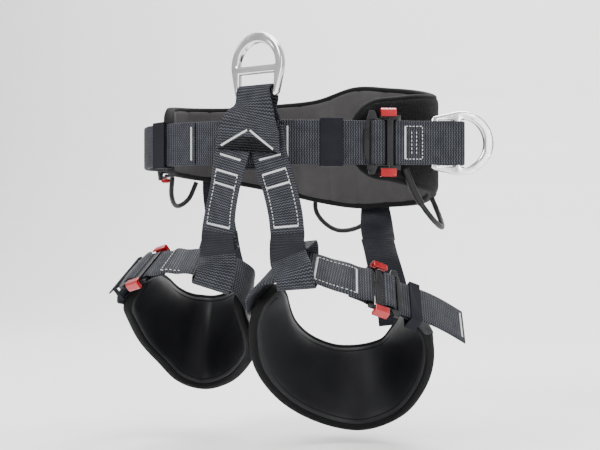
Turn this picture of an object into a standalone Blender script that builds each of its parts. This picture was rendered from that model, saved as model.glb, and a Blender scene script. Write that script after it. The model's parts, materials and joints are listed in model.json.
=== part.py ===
"""Tree climbing saddle: a padded waist belt and two leg loops of load-bearing webbing.

Frame: millimetres in the numbers below, metres in the model. The origin is the centre of the waist
loop at the webbing's mid-height. +X is the wearer's left, -Y is the front, +Z is up.
"_l" and "_r" are the wearer's left and right.
"""
import math

import bmesh
import bpy
from mathutils import Matrix, Vector

MM = 0.001

# Webbing and clearances
WEB_WIDTH = 44.4
WEB_HALF = WEB_WIDTH / 2
WEB_THICK = 2.0
RISER_WIDTH = 38.0
GAP = 0.3
LAYER = WEB_THICK + 0.4

# Waist pad: foam with a lining inside and a mesh cover outside
PAD_THICK = 10.0
LINING_THICK = 1.0
MESH_THICK = 1.5
TIP_ROUND = 30.0
PAD_STEP = 13.0
# x, y, lowest z, highest z, from the wearer's right tip round the back to the left tip
PAD_STATIONS = [
    (-125, -45, -24, 44), (-143, 5, -26, 50), (-138, 50, -29, 53), (-110, 92, -33, 56),
    (-60, 117, -43, 61), (-10, 126, -55, 66), (36, 125, -62, 79), (80, 112, -61, 75),
    (128, 78, -58, 66), (150, 40, -50, 57), (143, -15, -43, 52), (118, -50, -36, 46),
    (92, -67, -36, 44),
]

# Straight runs of the waist belt, one on each side; s is measured along a run from its foot
LEFT_RUN_FOOT = Vector((40, -107, 0))
LEFT_RUN_HEADING = math.radians(24.65)
RIGHT_RUN_FOOT = Vector((-155.8, -77, 0))
RIGHT_RUN_HEADING = math.radians(91.75)
BUCKLE_AT = 100.0
CROSSBAR_AT = 171.0
KEEPER_AT = 41.5
KEEPER_LENGTH = 23.0
TAIL_END_AT = -8.0

# Forged D-ring
RING_BAR_HALF = 26.5
RING_WIDTH_HALF = 33.0
RING_THICK = 8.0
RING_CROSSBAR = 23.0
RING_BAR_RADIUS = 4.0
RING_ARC_CENTRE = 27.5
RING_EYE_HALF = 24.0
RING_EYE_HEIGHT = 22.5
WRAP_RADIUS = 7.0  # webbing's middle round a ring's bar

# Quick-connect buckle
FRAME_REAR = 12.0
ARM_INNER = 24.6
ARM_OUTER = 27.6
TAB_OUTER = 34.5
TONGUE_HALF = 32.0
NOSE_HALF = 23.7
TONGUE_LOW = 1.2
TONGUE_HIGH = 3.7

# Front ring, its webbing wrap and the two front straps
FRONT_BAR = Vector((12, -125, 48.5))
FRONT_BAR_AXIS = Vector((0.951, -0.309, 0)).normalized()
FRONT_RING_UP = Vector((0.07, 0.02, 1.0))
FRONT_STRAP_WIDTH = 38.0
LEFT_HINGE = Vector((41, -117, -96))
RIGHT_HINGE = Vector((-33, -119, -91))

# Leg loops. Each station is the loop's middle and half its width vector (towards the rear edge),
# from the crotch end of the pad, round the bottom, to its outer end, then up the front.
LEG_PAD_THICK = 9.0
LEG_LINING_GAP = 0.9
LEG_WEB_OFFSET = 6.6
LEG_STRAP_OFFSET = 8.3
BUCKLE_STATION = 11.0
LEG_PAD_ROWS = 18
FRONT_LEAN_L = Vector((-0.07, 0.80, 0.60)) * WEB_HALF
FRONT_LEAN_R = Vector((0.03, 0.85, 0.53)) * WEB_HALF
LEGS = {
    "l": {"stations": [
        (Vector((17, -106, -143)), Vector((7, 16, 11))), (Vector((2, -68, -178)), Vector((8, 27, 9))),
        (Vector((-2, -36, -212)), Vector((10, 33, 14))), (Vector((8, 3, -241)), Vector((8, 33, 27))),
        (Vector((34, 36, -260)), Vector((4, 30, 36))), (Vector((65, 55, -264)), Vector((-4, 26, 43))),
        (Vector((100, 55, -251)), Vector((-12, 20, 41))), (Vector((124, 39, -225)), Vector((-18, 15, 34))),
        (Vector((139, 16, -199)), Vector((-18, 12, 24))), (Vector((146, -12, -178)), Vector((-12, 14, 16))),
        (Vector((138, -48, -165)), FRONT_LEAN_L), (Vector((117, -71, -153)), FRONT_LEAN_L),
        (Vector((84, -92, -140)), FRONT_LEAN_L), (Vector((52, -106, -131)), FRONT_LEAN_L)],
        "turn": -1, "loop": 13.08, "pad_end": 9.3, "web_end": 8.9, "hinge": LEFT_HINGE,
        "web_route": [(-64, -10, -20), (-57, -1.6, -12.2), (-49, 0, -7.8), (-37, 0, -4.6),
                      (-26, 0, -3.2), (-14, 0, -2.6)],
        "tail_route": [(-44, -0.2), (-62, -0.6), (-80, -3.0), (-106, -8.5)],
        "keeper_at": -42.0, "keeper_low": -11.6, "keeper_length": 12.0, "keeper_slack": 1.8},
    "r": {"stations": [
        (Vector((-23, -92, -143)), Vector((2, 20, 10))), (Vector((-32, -50, -166)), Vector((-12, 30, 16))),
        (Vector((-50, -6, -190)), Vector((-20, 34, 26))), (Vector((-82, 28, -209)), Vector((-20, 30, 40))),
        (Vector((-113, 40, -218)), Vector((-14, 26, 49))), (Vector((-136, 30, -213)), Vector((-9, 26, 49))),
        (Vector((-150, 7, -197)), Vector((-2, 26, 40))), (Vector((-153, -26, -177)), Vector((4, 25, 32))),
        (Vector((-149, -62, -158)), Vector((6, 22, 20))), (Vector((-141, -88, -148)), Vector((5, 19, 14))),
        (Vector((-130, -103, -142)), FRONT_LEAN_R), (Vector((-109, -113, -134)), FRONT_LEAN_R),
        (Vector((-78, -118, -128)), FRONT_LEAN_R), (Vector((-50, -116, -128)), FRONT_LEAN_R)],
        "turn": 1, "loop": 13.25, "pad_end": 8.9, "web_end": 8.6, "hinge": RIGHT_HINGE,
        "web_route": [(-47, 9.5, -17.4), (-41.5, 1.6, -10.4), (-35, 0, -6.8), (-26, 0, -4.4),
                      (-14, 0, -2.6)],
        "tail_route": [(-38, -1.4), (-48, -4.2)],
        "keeper_at": -30.5, "keeper_low": -12.0, "keeper_length": 5.0, "keeper_slack": 5.0},
}

GEAR_TUBE_RADIUS = 2.75

PALETTE = {
    "webbing": ((0.030, 0.032, 0.038), 0.72, 0.0),
    "lining": ((0.070, 0.070, 0.075), 0.70, 0.0),
    "mesh": ((0.012, 0.012, 0.014), 0.85, 0.0),
    "foam": ((0.020, 0.020, 0.022), 0.80, 0.0),
    "leg_fabric": ((0.013, 0.013, 0.015), 0.80, 0.0),
    "aluminium": ((0.80, 0.80, 0.82), 0.25, 1.0),
    "buckle_black": ((0.022, 0.022, 0.024), 0.38, 0.6),
    "tab_red": ((0.55, 0.012, 0.018), 0.30, 0.3),
    "elastic": ((0.020, 0.020, 0.023), 0.80, 0.0),
    "tube_black": ((0.018, 0.018, 0.019), 0.55, 0.0),
    "spring_steel": ((0.55, 0.55, 0.57), 0.35, 1.0),
}


# ---------------------------------------------------------------- scene helpers

def clear_scene():
    for obj in list(bpy.data.objects):
        bpy.data.objects.remove(obj, do_unlink=True)


def make_materials():
    materials = {}
    for name, (colour, roughness, metallic) in PALETTE.items():
        mat = bpy.data.materials.new(name)
        mat.use_nodes = True
        shader = mat.node_tree.nodes["Principled BSDF"]
        shader.inputs["Base Color"].default_value = (*colour, 1.0)
        shader.inputs["Roughness"].default_value = roughness
        shader.inputs["Metallic"].default_value = metallic
        mat.diffuse_color = (*colour, 1.0)
        materials[name] = mat
    return materials


class Model:
    """Keeps the pivots (empties on joint axes) and puts pieces under them."""

    def __init__(self):
        self.materials = make_materials()
        self.pivots = {}

    def pivot(self, name, position):
        empty = bpy.data.objects.new(name, None)
        empty.empty_display_size = 0.01
        empty.location = position * MM
        bpy.context.collection.objects.link(empty)
        self.pivots[name] = empty

    def place(self, obj, material, pivot):
        obj.data.materials.append(self.materials[material])
        bpy.context.collection.objects.link(obj)
        if pivot:
            obj.parent = self.pivots[pivot]

    def origin(self, pivot):
        return self.pivots[pivot].location.copy() if pivot else Vector((0, 0, 0))

    def solid(self, name, bm, material, pivot=None, smooth_angle=None):
        """Turns a bmesh in world millimetres into a named object in metres."""
        shift = self.origin(pivot)
        for vert in bm.verts:
            vert.co = vert.co * MM - shift
        bmesh.ops.recalc_face_normals(bm, faces=bm.faces)
        mesh = bpy.data.meshes.new(name)
        bm.to_mesh(mesh)
        bm.free()
        if smooth_angle:
            mesh.shade_smooth()
            mesh.set_sharp_from_angle(angle=math.radians(smooth_angle))
        obj = bpy.data.objects.new(name, mesh)
        self.place(obj, material, pivot)
        return obj

    def cutter(self, name, bm, target, pivot=None):
        """A hidden cutting body, subtracted from the target."""
        obj = self.solid(name, bm, "spring_steel", pivot)
        obj.hide_render = True
        obj.display_type = "WIRE"
        cut = target.modifiers.new(name, "BOOLEAN")
        cut.operation = "DIFFERENCE"
        cut.solver = "EXACT"
        cut.object = obj

    def tube(self, name, points, radius, material, pivot=None):
        shift = self.origin(pivot)
        curve = bpy.data.curves.new(name, "CURVE")
        curve.dimensions = "3D"
        curve.bevel_depth = radius * MM
        curve.bevel_resolution = 2
        curve.use_fill_caps = True
        spline = curve.splines.new("POLY")
        spline.points.add(len(points) - 1)
        for item, point in zip(spline.points, points):
            item.co = (*(point * MM - shift), 1.0)
        obj = bpy.data.objects.new(name, curve)
        self.place(obj, material, pivot)
        return obj


# ---------------------------------------------------------------- shape helpers

def smooth_stations(stations, step):
    """Points about step apart on a smooth curve through the stations.

    A station is a tuple of numbers, whose first three are its place.
    """
    count = len(stations)
    spans = [math.dist(stations[i][:3], stations[i + 1][:3]) for i in range(count - 1)]

    def slope(i, k):
        if i == 0:
            return (stations[1][k] - stations[0][k]) / spans[0]
        if i == count - 1:
            return (stations[-1][k] - stations[-2][k]) / spans[-1]
        before = (stations[i][k] - stations[i - 1][k]) / spans[i - 1]
        after = (stations[i + 1][k] - stations[i][k]) / spans[i]
        return (before * spans[i] + after * spans[i - 1]) / (spans[i - 1] + spans[i])

    result = []
    for i, span in enumerate(spans):
        pieces = max(1, round(span / step))
        for j in range(pieces):
            t = j / pieces
            row = []
            for k in range(len(stations[i])):
                start, end = stations[i][k], stations[i + 1][k]
                out, into = slope(i, k) * span, slope(i + 1, k) * span
                row.append((2 * t**3 - 3 * t**2 + 1) * start + (t**3 - 2 * t**2 + t) * out
                           + (3 * t**2 - 2 * t**3) * end + (t**3 - t**2) * into)
            result.append(tuple(row))
    result.append(tuple(stations[-1]))
    return result


def band(points, across, width, thickness):
    """A closed strip of webbing along points; across gives its width direction at each point.

    The width is one number, or a list with a number for each point.
    """
    widths = width if isinstance(width, list) else [width] * len(points)
    bm = bmesh.new()
    rows = []
    last = len(points) - 1
    for i, point in enumerate(points):
        along = (points[min(i + 1, last)] - points[max(i - 1, 0)]).normalized()
        side = across[i] - along * across[i].dot(along)
        side = side.normalized() * (widths[i] / 2)
        out = along.cross(side).normalized() * (thickness / 2)
        corners = (point + side + out, point - side + out, point - side - out, point + side - out)
        rows.append([bm.verts.new(corner) for corner in corners])
    for row, following in zip(rows, rows[1:]):
        for k in range(4):
            bm.faces.new((row[k], row[(k + 1) % 4], following[(k + 1) % 4], following[k]))
    bm.faces.new(rows[0])
    bm.faces.new(list(reversed(rows[-1])))
    return bm


def strap(model, name, stations, width=WEB_WIDTH, step=9.0, pivot=None, thickness=WEB_THICK):
    """Webbing through stations of a place and a width direction."""
    rows = smooth_stations([(*place, *side) for place, side in stations], step)
    points = [Vector(row[:3]) for row in rows]
    across = [Vector(row[3:]) for row in rows]
    return model.solid(name, band(points, across, width, thickness), "webbing", pivot, 40)


def prism(outline, low, high, matrix):
    """A closed prism: outline points (a, b) in the matrix's x and y, from low to high in its z."""
    bm = bmesh.new()
    bottom = [bm.verts.new(matrix @ Vector((a, b, low))) for a, b in outline]
    top = [bm.verts.new(matrix @ Vector((a, b, high))) for a, b in outline]
    count = len(outline)
    for i in range(count):
        j = (i + 1) % count
        bm.faces.new((bottom[i], bottom[j], top[j], top[i]))
    bm.faces.new(list(reversed(bottom)))
    bm.faces.new(top)
    return bm


def rectangle(a_low, a_high, b_low, b_high):
    return [(a_low, b_low), (a_high, b_low), (a_high, b_high), (a_low, b_high)]


def arc(centre_a, centre_b, radius, start, end, pieces):
    """Points of an arc, angles in degrees."""
    points = []
    for i in range(pieces + 1):
        angle = math.radians(start + (end - start) * i / pieces)
        points.append((centre_a + radius * math.cos(angle), centre_b + radius * math.sin(angle)))
    return points


def bevelled(obj, width, segments=1):
    bevel = obj.modifiers.new("edges", "BEVEL")
    bevel.width = width * MM
    bevel.segments = segments
    bevel.limit_method = "ANGLE"
    bevel.angle_limit = math.radians(50)


def frame_of(origin, u, n):
    """Local frame: x along the strap, y across it, z outward."""
    u = u.normalized()
    n = (n - u * n.dot(u)).normalized()
    v = n.cross(u)
    matrix = Matrix((u, v, n)).transposed().to_4x4()
    matrix.translation = origin
    return matrix


def slab(grid, low, high):
    """A closed body between two offsets of a grid of points, rows along and columns across."""
    rows, columns = len(grid), len(grid[0])

    def normal(i, j):
        along = grid[min(i + 1, rows - 1)][j] - grid[max(i - 1, 0)][j]
        across = grid[i][min(j + 1, columns - 1)] - grid[i][max(j - 1, 0)]
        return along.cross(across).normalized()

    bm = bmesh.new()
    sheets = []
    for offset in (low, high):
        sheets.append([[bm.verts.new(grid[i][j] + normal(i, j) * offset) for j in range(columns)]
                       for i in range(rows)])
    for i in range(rows - 1):
        for j in range(columns - 1):
            for k, sheet in enumerate(sheets):
                quad = (sheet[i][j], sheet[i + 1][j], sheet[i + 1][j + 1], sheet[i][j + 1])
                bm.faces.new(quad if k else tuple(reversed(quad)))
    rim = ([(i, 0) for i in range(rows)] + [(rows - 1, j) for j in range(1, columns)]
           + [(i, columns - 1) for i in range(rows - 2, -1, -1)]
           + [(0, j) for j in range(columns - 2, 0, -1)])
    for k, (i, j) in enumerate(rim):
        p, q = rim[(k + 1) % len(rim)]
        inner, outer = sheets
        bm.faces.new((inner[i][j], inner[p][q], outer[p][q], outer[i][j]))
    return bm


# ---------------------------------------------------------------- waist pad

def waist_pad_grid(inset=0.0, columns=6, step=PAD_STEP):
    """Mid-surface of the waist pad; its height closes to a half-round at both tips."""
    stations = [(x, y, 0, low, high) for x, y, low, high in PAD_STATIONS]
    rows = smooth_stations(stations, step)
    lengths = [0.0]
    for one, other in zip(rows, rows[1:]):
        lengths.append(lengths[-1] + math.dist(one[:2], other[:2]))
    total = lengths[-1]
    grid = []
    for row, length in zip(rows, lengths):
        x, y, _, low, high = row
        from_tip = min(length, total - length)
        shape = 1.0
        if from_tip < TIP_ROUND:
            shape = math.sqrt(1 - (1 - from_tip / TIP_ROUND) ** 2 * 0.86)
        middle, half = (low + high) / 2, (high - low) / 2 * shape - inset
        grid.append([Vector((x, y, middle + half * (2 * j / columns - 1)))
                     for j in range(columns + 1)])
    return grid


def build_waist_pad(model):
    half = PAD_THICK / 2
    model.solid("waist_pad_foam", slab(waist_pad_grid(), -half, half), "foam", smooth_angle=50)
    lining = slab(waist_pad_grid(2.0), half + GAP, half + GAP + LINING_THICK)
    model.solid("waist_pad_lining", lining, "lining", smooth_angle=50)
    mesh = slab(waist_pad_grid(2.0), -half - GAP - MESH_THICK, -half - GAP)
    model.solid("waist_mesh_cover", mesh, "mesh", smooth_angle=50)


def pad_outer_path(first, last, offset):
    """Points on the belt line between two pad stations, offset outward from the pad's middle."""
    rows = [Vector((*row[:2], 0)) for row in smooth_stations(
        [(x, y, 0, low, high) for x, y, low, high in PAD_STATIONS], PAD_STEP)]
    ends = [Vector((*PAD_STATIONS[k][:2], 0)) for k in (first, last)]
    start, stop = (min(range(len(rows)), key=lambda i: (rows[i] - end).length) for end in ends)
    points = []
    for i in range(start, stop + 1):
        along = (rows[i + 1] - rows[i - 1]).normalized()
        points.append(rows[i] + Vector((-along.y, along.x, 0)) * offset)
    return points


# ---------------------------------------------------------------- buckles and rings

def run_frame(foot, heading, at):
    u = Vector((math.cos(heading), math.sin(heading), 0))
    if foot.x > 0:
        outward = Vector((u.y, -u.x, 0))
    else:
        outward = Vector((-u.y, u.x, 0))
    return frame_of(foot + u * at, u, outward)


def run_point(matrix, at, n):
    """Point of a straight run at distance at from its foot and n outward."""
    return matrix @ Vector((at - BUCKLE_AT, 0, n))


def build_frame(model, name, matrix, pivot):
    """Female half: a rear bar with a webbing window, and two arms that carry the release tabs."""
    outline = [(-9.5, -ARM_OUTER), (FRAME_REAR, -ARM_OUTER), (FRAME_REAR, ARM_OUTER),
               (-9.5, ARM_OUTER), (-9.5, ARM_INNER), (0.8, ARM_INNER), (0.8, -ARM_INNER),
               (-9.5, -ARM_INNER)]
    frame = model.solid(name, prism(outline, -2.0, 0.9, matrix), "buckle_black", pivot)
    window = prism(rectangle(3.2, 8.0, -23.0, 23.0), -5, 5, matrix)
    model.cutter(name + "_window_cutter", window, frame, pivot)
    for sign in (-1, 1):
        low, high = sorted((sign * (ARM_INNER - 1), sign * (ARM_OUTER + 1)))
        hole = prism(rectangle(-3.2, 1.2, low, high), -1.3, 0.3, matrix)
        model.cutter(f"{name}_hole_cutter_{'ab'[sign > 0]}", hole, frame, pivot)
    return frame


def build_spring(model, name, matrix, pivot):
    """One flat spring behind both tabs, zigzag at its ends, drawn at its pressed length."""
    folds = [(-2.6 if i % 2 else 0.4, ARM_INNER + 0.5 + 0.95 * i) for i in range(6)]
    route = [(a, -b) for a, b in reversed(folds)] + [(a, b) for a, b in folds]
    points = [matrix @ Vector((a, b, -0.5)) for a, b in route]
    outward = matrix.to_3x3() @ Vector((0, 0, 1))
    spring = band(points, [outward] * len(points), 0.8, 0.35)
    model.solid(name, spring, "spring_steel", pivot)


def build_tab(model, name, matrix, sign, pivot):
    """Release tab: a cap over an arm's end with a lip above and one below the frame."""
    cap = [(ARM_OUTER + 2.4, -3.9), (TAB_OUTER - 0.9, -3.9), (TAB_OUTER, -2.4), (TAB_OUTER, 3.6),
           (TAB_OUTER - 1.3, 5.6), (ARM_INNER + 1.6, 5.6), (ARM_INNER + 1.6, 4.1),
           (ARM_OUTER + 2.4, 4.1)]
    bm = bmesh.new()
    ends = []
    for along in (-9.0, 7.0):
        ring = [bm.verts.new(matrix @ Vector((along, sign * v, n))) for v, n in cap]
        ends.append(ring)
    for i in range(len(cap)):
        j = (i + 1) % len(cap)
        bm.faces.new((ends[0][i], ends[0][j], ends[1][j], ends[1][i]))
    bm.faces.new(ends[0])
    bm.faces.new(list(reversed(ends[1])))
    tab = model.solid(name, bm, "tab_red", pivot)
    low, high = sorted((sign * (ARM_OUTER + 2.0), sign * (ARM_OUTER + 5.0)))
    pocket = prism(rectangle(-3.4, 1.4, low, high), -1.5, 0.5, matrix)
    model.cutter(name + "_pocket_cutter", pocket, tab, pivot)


def build_tongue(model, name, matrix, pivot):
    """Male half: a curved rim, a bar that the webbing wraps, and a nose between the arms."""
    rim = [(-20.5 - 5.5 * math.cos(math.radians(90 * t / 3)) ** 0.8, TONGUE_HALF * t / 3)
           for t in range(-3, 4)]
    outline = [(a, b) for a, b in reversed(rim)]
    outline += [(-15.0, -TONGUE_HALF), (-12.0, -NOSE_HALF), (4.0, -NOSE_HALF), (4.0, NOSE_HALF),
                (-12.0, NOSE_HALF), (-15.0, TONGUE_HALF)]
    plate = model.solid(name, prism(outline, TONGUE_LOW, TONGUE_HIGH, matrix), "buckle_black",
                        pivot)
    for tag, low, high in (("outer", -20.0, -15.0), ("inner", -7.4, -2.6)):
        slot = prism(rectangle(low, high, -22.9, 22.9), -5, 8, matrix)
        model.cutter(f"{name}_{tag}_slot_cutter", slot, plate, pivot)


def frame_wrap(matrix):
    """Webbing that wraps a frame's rear bar: sewn under layer, turn through the window, top layer."""
    route = [(33, -2.5), (22, -2.5), (15.5, -3.0), (12.5, -3.6), (8.0, -3.4), (5.6, -0.55),
             (8.0, 2.3), (12.5, 2.5), (16.0, 1.0), (22, 0.0), (33, 0.0)]
    return [matrix @ Vector((u, 0, n)) for u, n in route]


def tongue_wrap(matrix):
    """Webbing round a tongue's bar: under the bar, up the inner slot, over, down, under the rim."""
    route = [(-12.4, -0.35), (-7.2, -0.35), (-5.0, 1.6), (-6.4, 4.6), (-9.0, 5.1), (-13.4, 5.1),
             (-16.0, 4.4), (-17.6, 2.0), (-19.4, 0.2), (-22.5, -0.35), (-30, -0.35)]
    return [matrix @ Vector((u, 0, n)) for u, n in route]


def build_buckle(model, tag, matrix, base_pivot):
    """A whole quick-connect buckle, in its own local frame."""
    model.pivot(f"pivot_tongue_{tag}", matrix.translation)
    build_frame(model, f"buckle_frame_{tag}", matrix, base_pivot)
    build_spring(model, f"latch_spring_{tag}", matrix, base_pivot)
    for sign in (1, -1):
        word = "upper" if matrix.col[1].z * sign > 0 else "lower"
        side = f"{tag}_{word}"
        model.pivot(f"pivot_tab_{side}", matrix @ Vector((0, sign * ARM_OUTER, 0)))
        build_tab(model, f"release_tab_{side}", matrix, sign, f"pivot_tab_{side}")
    build_tongue(model, f"buckle_tongue_{tag}", matrix, f"pivot_tongue_{tag}")


def build_keeper(model, name, matrix, low, high, half_width, length, pivot):
    """Elastic keeper: a flat sleeve open at both ends, from low to high along the normal."""
    wall = 1.3
    outer = rectangle(-half_width - wall, half_width + wall, low - wall, high + wall)
    inner = rectangle(-half_width, half_width, low, high)
    bm = bmesh.new()
    rings = {}
    for which, outline in (("outer", outer), ("inner", inner)):
        for end in (-length / 2, length / 2):
            rings[which, end > 0] = [bm.verts.new(matrix @ Vector((end, b, n)))
                                     for b, n in outline]
    for i in range(4):
        j = (i + 1) % 4
        for one, other in ((("outer", False), ("outer", True)), (("inner", False), ("inner", True)),
                           (("outer", False), ("inner", False)), (("outer", True), ("inner", True))):
            first, second = rings[one], rings[other]
            bm.faces.new((first[i], first[j], second[j], second[i]))
    return model.solid(name, bm, "elastic", pivot)


def build_ring(model, name, matrix, pivot):
    """Forged D-ring in its own frame: x along the bars, y from the lower bar to the top."""
    top = arc(0, RING_ARC_CENTRE, RING_WIDTH_HALF, -8, 188, 20)
    outline = [(-RING_BAR_HALF + 2, -RING_BAR_RADIUS), (RING_BAR_HALF - 2, -RING_BAR_RADIUS),
               (RING_BAR_HALF + 0.5, -1.5)] + top + [(-RING_BAR_HALF - 0.5, -1.5)]
    half = RING_THICK / 2
    ring = model.solid(name, prism(outline, -half, half, matrix), "aluminium", pivot)
    slot = rectangle(-22.8, 22.8, RING_BAR_RADIUS, RING_CROSSBAR - RING_BAR_RADIUS)
    model.cutter(name + "_slot_cutter", prism(slot, -9, 9, matrix), ring, pivot)
    eye = [(a * RING_EYE_HALF, RING_ARC_CENTRE + b * RING_EYE_HEIGHT)
           for a, b in arc(0, 0, 1, 0, 180, 16)]
    eye += [(-23.0, RING_CROSSBAR + RING_BAR_RADIUS), (23.0, RING_CROSSBAR + RING_BAR_RADIUS)]
    model.cutter(name + "_eye_cutter", prism(eye, -9, 9, matrix), ring, pivot)
    bevelled(ring, 2.0)


def ring_frame(origin, bar_axis, up):
    """Frame with x along the bars and y towards the ring's top."""
    x = bar_axis.normalized()
    y = (up - x * up.dot(x)).normalized()
    matrix = Matrix((x, y, x.cross(y))).transposed().to_4x4()
    matrix.translation = origin
    return matrix


# ---------------------------------------------------------------- waist belt

UP = Vector((0, 0, 1))


def upright(points):
    return [(point, UP) for point in points]


def build_side(model, tag, matrix, pad_points, swing_axis_pivot):
    """Side strap with its D-ring: buckle frame, round the ring's crossbar, back onto the pad."""
    crossbar = run_point(matrix, CROSSBAR_AT, -WRAP_RADIUS)
    outward = matrix.to_3x3() @ Vector((0, 0, 1))
    along = matrix.to_3x3() @ Vector((1, 0, 0))
    rear = (pad_points[0] - crossbar).normalized()
    turn = [crossbar + outward * WRAP_RADIUS]
    leave = Vector((rear.y, -rear.x, 0))
    if leave.dot(along) < 0:
        leave = -leave
    angle = outward.angle(leave)
    for i in range(1, 5):
        part = angle * i / 4
        direction = outward * math.sin(angle - part) + leave * math.sin(part)
        turn.append(crossbar + direction.normalized() * WRAP_RADIUS)
    path = frame_wrap(matrix) + [run_point(matrix, 150, 0)] + turn + pad_points
    strap(model, f"side_strap_{tag}", upright(path), step=15.0)
    up = 1 if tag == "l" else -1
    ring = ring_frame(crossbar - along * RING_CROSSBAR, UP * up, along)
    model.pivot(swing_axis_pivot, crossbar)
    build_ring(model, f"side_d_ring_{tag}", ring, swing_axis_pivot)


def build_waist_belt(model):
    left = run_frame(LEFT_RUN_FOOT, LEFT_RUN_HEADING, BUCKLE_AT)
    right = run_frame(RIGHT_RUN_FOOT, RIGHT_RUN_HEADING, BUCKLE_AT)
    build_buckle(model, "waist_l", left, None)
    build_buckle(model, "waist_r", right, None)

    over = PAD_THICK / 2 + MESH_THICK + 3 * GAP + WEB_THICK / 2
    back = pad_outer_path(3, 9, over)
    strap(model, "back_webbing", upright(back), step=30.0)
    over += LAYER
    left_pad = list(reversed(pad_outer_path(8, 9, over)))
    right_pad = pad_outer_path(4, 5, over)
    build_side(model, "l", left, left_pad, "pivot_side_ring_l")
    build_side(model, "r", right, right_pad, "pivot_side_ring_r")

    front = [run_point(left, s, n) for s, n in ((85, -2.6), (60, -2.6), (38, -2.6), (18, 0))]
    front += [Vector((40, -107, 0)), Vector((3.5, -118, 0)), Vector((-54.7, -116, 0)),
              Vector((-94, -104.5, 0)), Vector((-130, -79, 0)), Vector((-149, -45, 0))]
    front += [run_point(right, s, n) for s, n in ((50, -2.6), (64, -2.6), (85, -2.6))]
    strap(model, "front_webbing", upright(front), step=12.0)

    tail = tongue_wrap(left)
    tail += [run_point(left, s, n) for s, n in ((58, 1.4), (44, 2.5), (20, 2.5), (TAIL_END_AT, 2.5))]
    strap(model, "waist_tail_l", upright(tail), step=14.0, pivot="pivot_tongue_waist_l")
    strap(model, "waist_fold_r", upright(tongue_wrap(right)), step=14.0,
          pivot="pivot_tongue_waist_r")
    tail = [run_point(right, 52, 3.3), Vector((-152.8, -47, 0)), Vector((-132.5, -81.4, 0)),
            Vector((-95.4, -107.2, 0)), Vector((-60, -117.8, 0))]
    strap(model, "waist_tail_r", upright(tail), step=14.0)

    keeper_l = run_frame(LEFT_RUN_FOOT, LEFT_RUN_HEADING, KEEPER_AT)
    model.pivot("pivot_keeper_l", keeper_l.translation)
    build_keeper(model, "waist_keeper_l", keeper_l, -4.3, 4.2, WEB_HALF + 0.6, KEEPER_LENGTH,
                 "pivot_keeper_l")
    keeper_r = frame_of(Vector((-104.5, -99, 0)), Vector((-0.83, 0.557, 0)),
                        Vector((-0.557, -0.83, 0)))
    model.pivot("pivot_keeper_r", keeper_r.translation)
    build_keeper(model, "waist_keeper_r", keeper_r, -3.0, 5.4, WEB_HALF + 0.6, KEEPER_LENGTH,
                 "pivot_keeper_r")


def build_front_wrap(model):
    """Webbing folded over the ring's lower bar; it widens to cover both straps' upper ends."""
    forward = FRONT_BAR_AXIS.cross(UP)
    axis = FRONT_BAR_AXIS
    level = Vector((1, 0, 0))
    behind = Vector((0.955, 0.297, 0))
    rows = [(Vector((8, -109.5, -27)), behind, 42.0), (Vector((8, -110.5, 0)), behind, 42.0),
            (Vector((8.5, -110.4, 24)), behind, 42.0), (Vector((11.8, -117, 38)), axis, 43.0)]
    for i in range(7):
        angle = math.radians(180 - 30 * i)
        place = (FRONT_BAR + forward * WRAP_RADIUS * math.cos(angle)
                 + UP * WRAP_RADIUS * math.sin(angle))
        rows.append((place, axis, 43.0))
    rows += [(Vector((10.5, -131.6, 34)), Vector((0.98, -0.2, 0)), 47.0),
             (Vector((6.5, -131.4, 18)), level, 61.0), (Vector((4.5, -131.2, 1.5)), level, 67.0)]
    stations = [(*place, *side, width) for place, side, width in rows]
    rows = smooth_stations(stations, 8.0)
    points = [Vector(row[:3]) for row in rows]
    across = [Vector(row[3:6]) for row in rows]
    widths = [row[6] for row in rows]
    wrap = band(points, across, widths, WEB_THICK)
    model.solid("front_ring_wrap", wrap, "webbing", smooth_angle=40)


def build_front(model):
    """Front ring, its wrap, and the two straps that run from it down to the leg loops."""
    ring = ring_frame(FRONT_BAR, FRONT_BAR_AXIS, FRONT_RING_UP)
    model.pivot("pivot_front_ring", FRONT_BAR)
    build_ring(model, "front_d_ring", ring, "pivot_front_ring")
    build_front_wrap(model)
    straps = {
        "l": [((21, -125.4, 14), (0.97, 0.0, 0.20)), ((23.5, -125.2, -5), (0.96, -0.04, 0.22)),
              ((28, -123.5, -25), (0.96, -0.12, 0.22)), ((34, -120.5, -47), (0.97, -0.12, 0.20)),
              ((39.5, -118, -75), (0.99, -0.1, 0.10)), ((41, -117, -94.3), (0.99, -0.1, 0))],
        "r": [((-8, -128.2, 14), (0.97, 0.0, -0.16)), ((-12, -128.2, -3), (0.95, -0.02, -0.20)),
              ((-18.5, -126.5, -25), (0.92, -0.16, -0.22)), ((-24, -124.5, -48), (0.88, -0.26, -0.18)),
              ((-30, -121.5, -72), (0.92, -0.2, -0.08)), ((-33, -119, -89.3), (0.96, -0.1, 0))],
    }
    for tag, rows in straps.items():
        stations = [(Vector(place), Vector(side)) for place, side in rows]
        strap(model, f"front_strap_{tag}", stations, FRONT_STRAP_WIDTH, step=10.0)


# ---------------------------------------------------------------- leg loops

def leg_row(leg, at):
    """Middle and half-width vector of a leg loop at a station number; the loop is closed."""
    stations = leg["stations"]
    count = len(stations)
    base = math.floor(at)
    t = at - base
    rows = [stations[(base + k) % count] for k in (-1, 0, 1, 2)]
    result = []
    for k in (0, 1):
        before, start, end, after = (row[k] for row in rows)
        out, into = (end - before) / 2, (after - start) / 2
        result.append(start * (2 * t**3 - 3 * t**2 + 1) + out * (t**3 - 2 * t**2 + t)
                      + end * (3 * t**2 - 2 * t**3) + into * (t**3 - t**2))
    return result


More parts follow.
